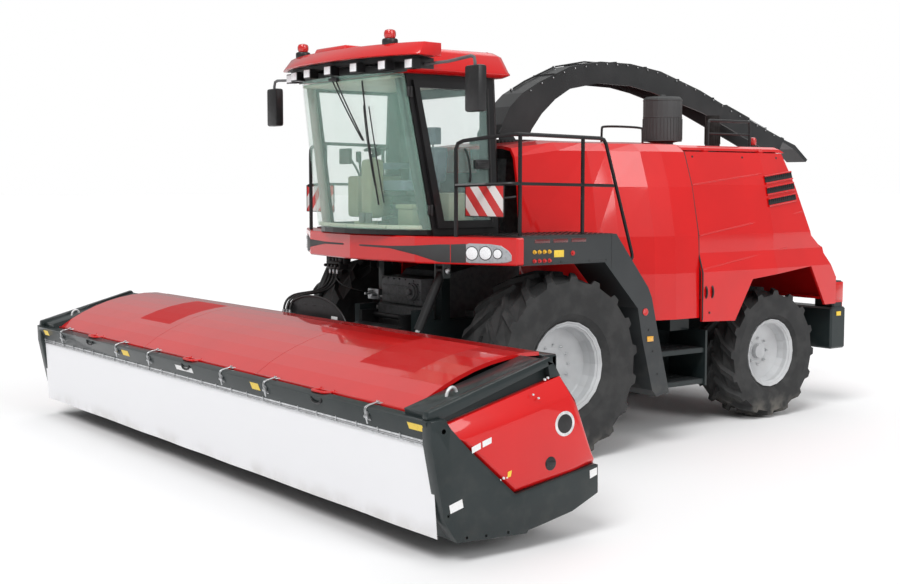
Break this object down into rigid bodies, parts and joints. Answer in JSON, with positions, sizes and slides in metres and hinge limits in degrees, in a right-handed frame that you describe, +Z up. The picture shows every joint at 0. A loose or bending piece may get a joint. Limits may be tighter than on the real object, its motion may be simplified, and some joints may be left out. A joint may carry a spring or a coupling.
{
  "type": "self-propelled forage harvester",
  "caption": "Self-propelled forage harvester with glazed cab, slewing discharge spout, rear-wheel steering and a wide covered direct-cut header.",
  "frame": {"origin": "on the ground, at the middle of the overall width and overall length", "axes": "+Z up, -Y forward (the header end), +X the machine's left"},
  "size_m": [7.706, 8.62, 4.0597],
  "materials": {
    "red": "glossy enamel",
    "slate": "satin paint",
    "grey": "satin paint",
    "black": "satin paint",
    "tyre": "matt tread rubber",
    "silver": "satin silver paint",
    "steel": "worn bare steel",
    "glass": "pale green tint",
    "cloth": "woven seat cloth",
    "beige": "fine grain",
    "curtain": "coated tarpaulin",
    "iron": "rough cast"
  },
  "bodies": {
    "chassis": {"air_precleaner": "grey", "body_front": "red", "cab_body": "black", "cab_roof": "red", "chopper_housing": "black", "console_left": "grey", "console_right": "grey", "engine_block": "iron", "engine_hood": "red", "exhaust_pipe": "black", "front_axle": "black", "front_fascia": "red", "handrail_left": "black", "handrail_right": "black", "main_frame": "slate", "mirror_left": "black", "mirror_right": "black", "rear_axle": "black", "rear_bumper": "slate", "rear_glass": "glass", "roof_lamps": "black", "seat": "cloth", "side_boxes": "slate", "side_glass_right": "glass", "steering_column": "beige", "windscreen": "glass"},
    "spout_turret": {"spout_turret": "black"},
    "spout_boom": {"spout": "black"},
    "spout_flap": {"spout_flap": "black"},
    "door": {"door_frame": "black", "door_glass": "glass"},
    "header": {"feeder_housing": "black", "header_frame": "slate", "header_cover_left": "red", "header_cover_right": "red", "curtain": "curtain", "cutter_bar": "black"},
    "hood_1": {"hood_1": "red"},
    "hood_2": {"hood_2": "red"},
    "hood_3": {"hood_3": "red"},
    "auger": {"auger": "steel"},
    "knife": {"knife": "steel"},
    "tie_rod": {"tie_rod": "black"},
    "front_wheel_left": {"tyre_front_left": "tyre", "rim_front_left": "silver"},
    "knuckle_left": {"knuckle_left": "black"},
    "rear_wheel_left": {"tyre_rear_left": "tyre", "rim_rear_left": "silver"},
    "ram_barrel_left": {"ram_barrel_left": "black"},
    "ram_rod_left": {"ram_rod_left": "steel"},
    "engine_panel_left": {"engine_panel_left": "red"},
    "front_wheel_right": {"tyre_front_right": "tyre", "rim_front_right": "silver"},
    "knuckle_right": {"knuckle_right": "black"},
    "rear_wheel_right": {"tyre_rear_right": "tyre", "rim_rear_right": "silver"},
    "ram_barrel_right": {"ram_barrel_right": "black"},
    "ram_rod_right": {"ram_rod_right": "steel"},
    "engine_panel_right": {"engine_panel_right": "red"}
  },
  "joints": [
    {"name": "spout_slew", "type": "hinge", "parent": "chassis", "child": "spout_turret", "pos_m": [0, -0.55, 3], "axis": [0, 0, 1], "range_deg": [-95, 95]},
    {"name": "spout_lift", "type": "hinge", "parent": "spout_turret", "child": "spout_boom", "pos_m": [0, -0.69, 3.175], "axis": [1, 0, 0], "range_deg": [0, 35]},
    {"name": "spout_flap_tilt", "type": "hinge", "parent": "spout_boom", "child": "spout_flap", "pos_m": [0, 3.795, 3.19], "axis": [-1, 0, 0], "range_deg": [-10, 40]},
    {"name": "door_swing", "type": "hinge", "parent": "chassis", "child": "door", "pos_m": [0.95825, -2.276, 2.9], "axis": [0.062, 0.1654, -0.9843], "range_deg": [0, 50]},
    {"name": "header_lift", "type": "hinge", "parent": "chassis", "child": "header", "pos_m": [0, -1.99, 1.3], "axis": [-1, 0, 0], "range_deg": [-2, 22]},
    {"name": "hood_1_lift", "type": "hinge", "parent": "header", "child": "hood_1", "pos_m": [-2.29933, -2.981, 1.36], "axis": [-1, 0, 0], "range_deg": [0, 75]},
    {"name": "hood_2_lift", "type": "hinge", "parent": "header", "child": "hood_2", "pos_m": [0, -2.981, 1.36], "axis": [-1, 0, 0], "range_deg": [0, 75]},
    {"name": "hood_3_lift", "type": "hinge", "parent": "header", "child": "hood_3", "pos_m": [2.29933, -2.981, 1.36], "axis": [-1, 0, 0], "range_deg": [0, 75]},
    {"name": "auger_spin", "type": "hinge", "parent": "header", "child": "auger", "pos_m": [0, -3.31, 0.6], "axis": [1, 0, 0], "continuous": true},
    {"name": "knife_stroke", "type": "slide", "parent": "header", "child": "knife", "axis": [1, 0, 0], "range_m": [-0.0508, 0.0508]},
    {"name": "front_wheel_left_spin", "type": "hinge", "parent": "chassis", "child": "front_wheel_left", "pos_m": [1.485, -1.19, 0.904], "axis": [1, 0, 0], "continuous": true},
    {"name": "steer_left", "type": "hinge", "parent": "chassis", "child": "knuckle_left", "pos_m": [0.66, 2.285, 0.737], "axis": [0, 0, 1], "range_deg": [-30, 30]},
    {"name": "rear_wheel_left_spin", "type": "hinge", "parent": "knuckle_left", "child": "rear_wheel_left", "pos_m": [1.05, 2.285, 0.737], "axis": [1, 0, 0], "continuous": true},
    {"name": "ram_left_swing", "type": "hinge", "parent": "chassis", "child": "ram_barrel_left", "pos_m": [0.98, -2.09, 1.82], "axis": [-1, 0, 0], "range_deg": [-1.5, 14.47]},
    {"name": "ram_left_extend", "type": "slide", "parent": "ram_barrel_left", "child": "ram_rod_left", "axis": [0, -0.4542, -0.8909], "range_m": [-0.1411, 0.0146]},
    {"name": "engine_panel_left_lift", "type": "hinge", "parent": "chassis", "child": "engine_panel_left", "pos_m": [1.103, 1.81, 2.997], "axis": [0, -1, 0], "range_deg": [0, 75]},
    {"name": "front_wheel_right_spin", "type": "hinge", "parent": "chassis", "child": "front_wheel_right", "pos_m": [-1.485, -1.19, 0.904], "axis": [1, 0, 0], "continuous": true},
    {"name": "steer_right", "type": "hinge", "parent": "chassis", "child": "knuckle_right", "pos_m": [-0.66, 2.285, 0.737], "axis": [0, 0, 1], "range_deg": [-30, 30]},
    {"name": "rear_wheel_right_spin", "type": "hinge", "parent": "knuckle_right", "child": "rear_wheel_right", "pos_m": [-1.05, 2.285, 0.737], "axis": [1, 0, 0], "continuous": true},
    {"name": "ram_right_swing", "type": "hinge", "parent": "chassis", "child": "ram_barrel_right", "pos_m": [-0.98, -2.09, 1.82], "axis": [-1, 0, 0], "range_deg": [-1.5, 14.47]},
    {"name": "ram_right_extend", "type": "slide", "parent": "ram_barrel_right", "child": "ram_rod_right", "axis": [0, -0.4542, -0.8909], "range_m": [-0.1411, 0.0146]},
    {"name": "engine_panel_right_lift", "type": "hinge", "parent": "chassis", "child": "engine_panel_right", "pos_m": [-1.103, 1.81, 2.997], "axis": [0, 1, 0], "range_deg": [0, 75]},
    {"name": "tie_rod_swing", "type": "hinge", "parent": "knuckle_left", "child": "tie_rod", "pos_m": [0.66, 2.645, 0.6375], "axis": [0, 0, 1], "range_deg": [-30, 30]}
  ],
  "couplings": [
    {"joint": "steer_right", "follows": "steer_left", "ratio": 1},
    {"joint": "tie_rod_swing", "follows": "steer_left", "ratio": -1},
    {"joint": "ram_left_swing", "follows": "header_lift", "ratio": 0.64842},
    {"joint": "ram_left_extend", "follows": "header_lift", "m_per_rad": -0.36224},
    {"joint": "ram_right_swing", "follows": "header_lift", "ratio": 0.64842},
    {"joint": "ram_right_extend", "follows": "header_lift", "m_per_rad": -0.36224}
  ]
}
